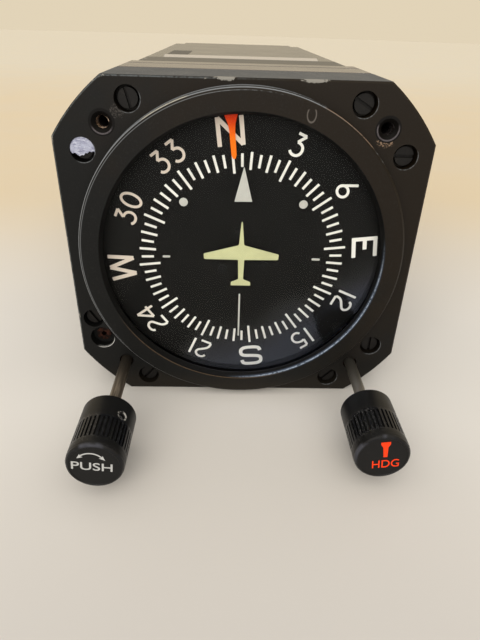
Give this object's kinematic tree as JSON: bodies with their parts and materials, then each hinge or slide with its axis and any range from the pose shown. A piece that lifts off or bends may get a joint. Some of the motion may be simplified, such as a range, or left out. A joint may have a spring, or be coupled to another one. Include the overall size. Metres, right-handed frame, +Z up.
{
  "type": "directional gyro indicator",
  "caption": "Panel-mounted directional gyro indicator with a turning compass card, a heading bug, two setting knobs and a geared, air-driven gyro in a long case with arced corners.",
  "frame": {"origin": "on the dial axis, in the plane of the flange's front face", "axes": "+X to the right as seen from the front, +Y into the panel along the dial axis, +Z up"},
  "size_m": [0.0858, 0.2174, 0.082],
  "materials": {
    "bezel_black": "satin black paint, worn at the edges",
    "case_grey": "semi-gloss dark grey paint",
    "cover_glass": "clear",
    "seal_black": "matte",
    "bare_alloy": "satin",
    "steel": "satin",
    "dark_steel": "blackened",
    "brass": "satin",
    "card_black": "matte black",
    "bug_orange": "matte",
    "knob_black": "satin",
    "filter_white": "open foam",
    "card_print": "warm white ink on the card and its ring of divisions",
    "glass_print": "grey-white ink on the glass and the knobs",
    "plane_print": "pale yellow-green ink of the aeroplane sign"
  },
  "bodies": {
    "housing": {"bezel": "bezel_black", "cover_glass": "cover_glass", "glass_gasket": "seal_black", "glass_retainer": "dark_steel", "bezel_gasket": "seal_black", "gyro_frame": "case_grey", "case_gasket": "seal_black", "rear_case": "case_grey", "bezel_screws": "dark_steel", "case_screws": "dark_steel", "mount_inserts": "brass", "shaft_bushes": "brass", "shaft_seals": "seal_black", "front_plate": "bare_alloy", "plate_posts": "bare_alloy", "plate_screws": "dark_steel", "bug_gear_clip": "dark_steel", "hdg_idler_pin": "steel", "card_bearings": "steel", "upper_bearing": "steel", "lower_bearing": "steel", "inlet_tube": "brass", "inlet_filter": "filter_white", "filter_ring": "bare_alloy", "set_spring": "steel"},
    "outer_gimbal": {"outer_gimbal": "bare_alloy", "gimbal_gear": "brass", "gimbal_gear_screws": "dark_steel", "tilt_bearings": "steel"},
    "inner_gimbal": {"rotor_housing": "bare_alloy", "rotor_covers": "bare_alloy", "cover_screws": "dark_steel", "rotor_bearings": "steel", "bearing_caps": "brass", "air_jets": "brass"},
    "rotor": {"rotor": "brass", "rotor_shaft": "steel"},
    "card": {"compass_card": "card_black", "card_hub": "bare_alloy", "carrier_clip": "dark_steel", "hub_screws": "dark_steel", "card_shaft": "steel", "card_gear": "brass", "set_gear": "brass"},
    "bug_drive": {"bug_gear": "bare_alloy"},
    "bug": {"bug_carrier": "card_black", "heading_bug": "bug_orange"},
    "set_slide": {"set_carriage": "bare_alloy", "caging_bar": "steel"},
    "set_knob": {"set_shaft": "steel", "push_knob": "knob_black", "push_set_screw": "dark_steel", "set_pinion": "brass"},
    "set_idler": {"set_idler": "brass"},
    "caging_pin": {"caging_pin": "steel"},
    "hdg_knob": {"hdg_shaft": "steel", "hdg_knob": "knob_black", "hdg_set_screw": "dark_steel", "hdg_pinion": "brass"},
    "hdg_idler": {"hdg_idler": "brass"}
  },
  "joints": [
    {"name": "gimbal_yaw", "type": "hinge", "parent": "housing", "child": "outer_gimbal", "pos_m": [0, 0.095, 0], "axis": [0, 0, 1], "continuous": true},
    {"name": "gimbal_tilt", "type": "hinge", "parent": "outer_gimbal", "child": "inner_gimbal", "pos_m": [0, 0.095, 0], "axis": [1, 0, 0], "range_deg": [-55, 55]},
    {"name": "rotor_spin", "type": "hinge", "parent": "inner_gimbal", "child": "rotor", "pos_m": [0, 0.095, 0], "axis": [0, 1, 0], "continuous": true},
    {"name": "card_turn", "type": "hinge", "parent": "housing", "child": "card", "pos_m": [0, 0.03, 0], "axis": [0, 1, 0], "continuous": true},
    {"name": "hdg_turn", "type": "hinge", "parent": "housing", "child": "hdg_knob", "pos_m": [0.03143, 0, -0.03143], "axis": [0, 1, 0], "continuous": true},
    {"name": "hdg_idler_turn", "type": "hinge", "parent": "housing", "child": "hdg_idler", "pos_m": [0.02514, 0.007, -0.02514], "axis": [0, 1, 0], "continuous": true},
    {"name": "bug_gear_turn", "type": "hinge", "parent": "housing", "child": "bug_drive", "pos_m": [0, 0.007, 0], "axis": [0, 1, 0], "continuous": true},
    {"name": "bug_turn", "type": "hinge", "parent": "card", "child": "bug", "pos_m": [0, 0.0028, 0], "axis": [0, 1, 0], "continuous": true},
    {"name": "set_push", "type": "slide", "parent": "housing", "child": "set_slide", "axis": [0, 1, 0], "range_m": [0, 0.0032], "stiffness_N_per_m": 250, "springref_m": -0.004, "deforming": ["set_spring"]},
    {"name": "set_turn", "type": "hinge", "parent": "set_slide", "child": "set_knob", "pos_m": [-0.03143, 0, -0.03143], "axis": [0, 1, 0], "continuous": true},
    {"name": "set_idler_turn", "type": "hinge", "parent": "set_slide", "child": "set_idler", "pos_m": [-0.02514, 0.0126, -0.02514], "axis": [0, 1, 0], "continuous": true},
    {"name": "caging_lift", "type": "slide", "parent": "housing", "child": "caging_pin", "axis": [0, 0, 1], "range_m": [0, 0.001]}
  ],
  "couplings": [
    {"joint": "card_turn", "follows": "gimbal_yaw", "ratio": 1},
    {"joint": "hdg_turn", "follows": "bug_gear_turn", "ratio": 8},
    {"joint": "hdg_idler_turn", "follows": "bug_gear_turn", "ratio": -6},
    {"joint": "bug_turn", "follows": "bug_gear_turn", "ratio": 1},
    {"joint": "set_idler_turn", "follows": "set_turn", "ratio": -0.75},
    {"joint": "caging_lift", "follows": "set_push", "ratio": 0.3125}
  ]
}
